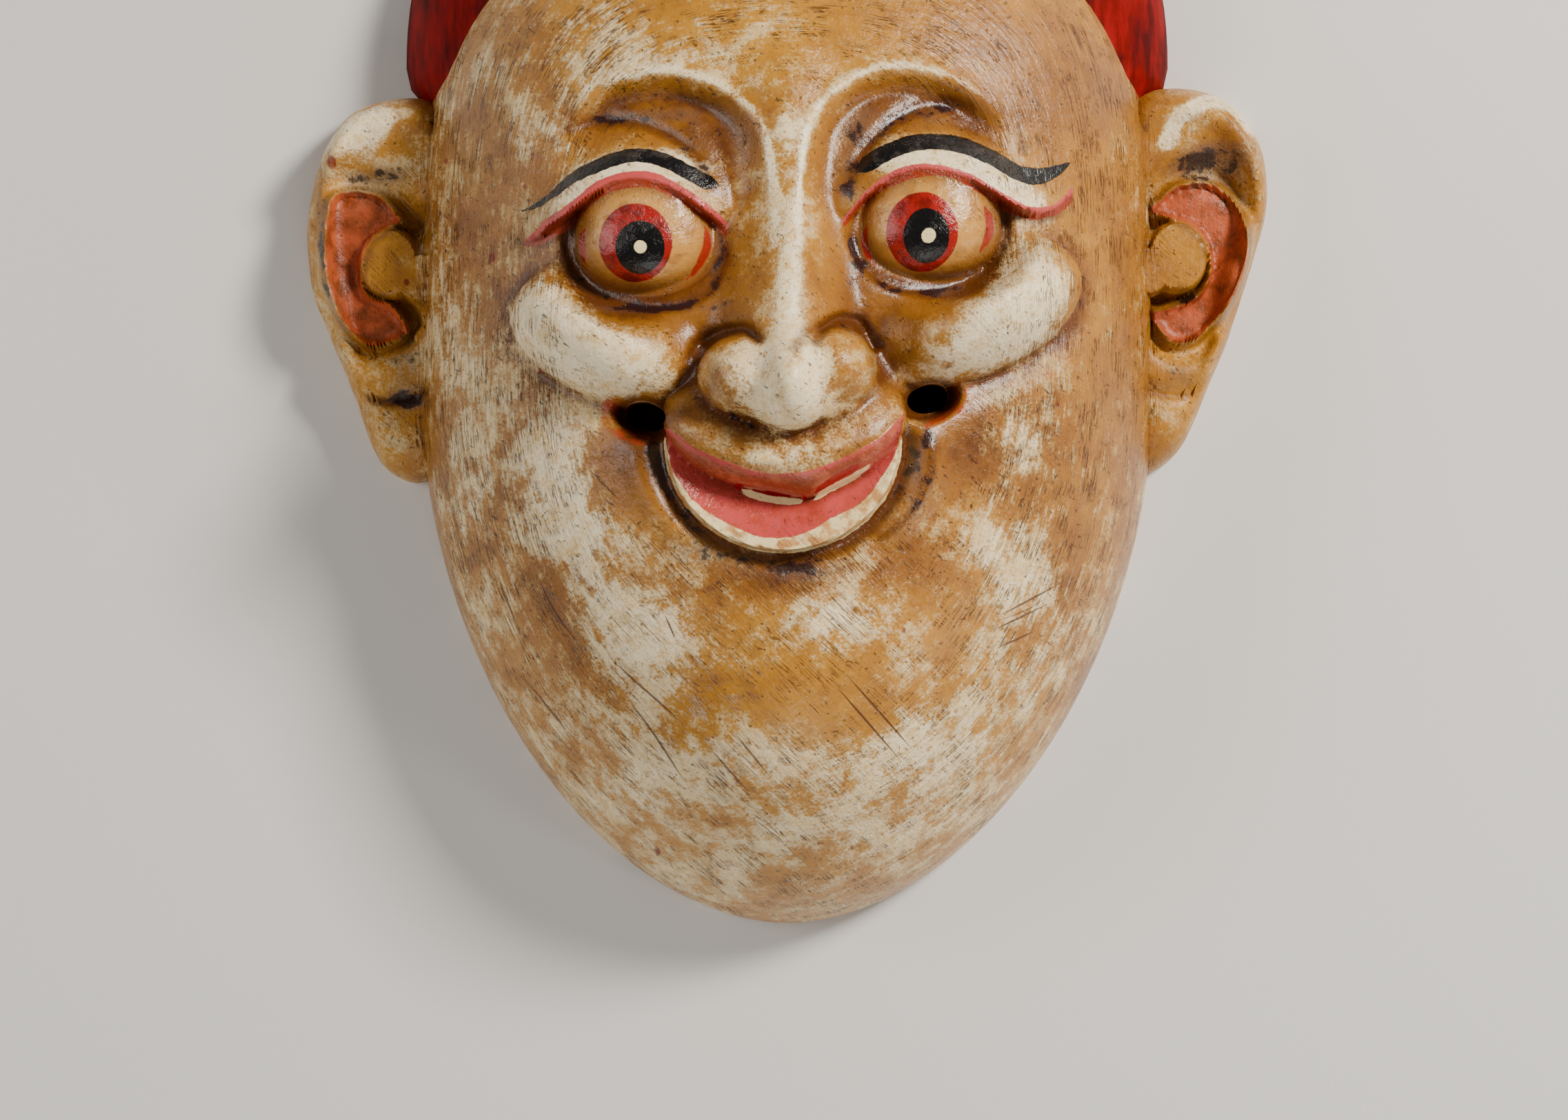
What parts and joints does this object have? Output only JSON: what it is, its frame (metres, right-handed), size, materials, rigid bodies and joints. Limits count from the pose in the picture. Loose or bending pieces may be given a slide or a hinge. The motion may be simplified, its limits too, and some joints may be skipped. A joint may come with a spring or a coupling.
{
  "type": "carved wooden mask",
  "caption": "Hollow carved wooden mask of a grinning bald man with bulging eyes, round cheeks, large ears and a red cap of hair",
  "frame": {"origin": "Middle of the mask's outline on the plane of its back rim, which is z = 0; the mask lies on its back.", "axes": "+Z points out of the face, +Y to the top of the head, +X to the right of somebody looking at the face."},
  "size_m": [0.247, 0.3032, 0.106],
  "materials": {
    "painted_wood": "aged satin lacquer over cream and ochre paint"
  },
  "bodies": {
    "root": {"mask": "painted_wood"}
  },
  "joints": []
}
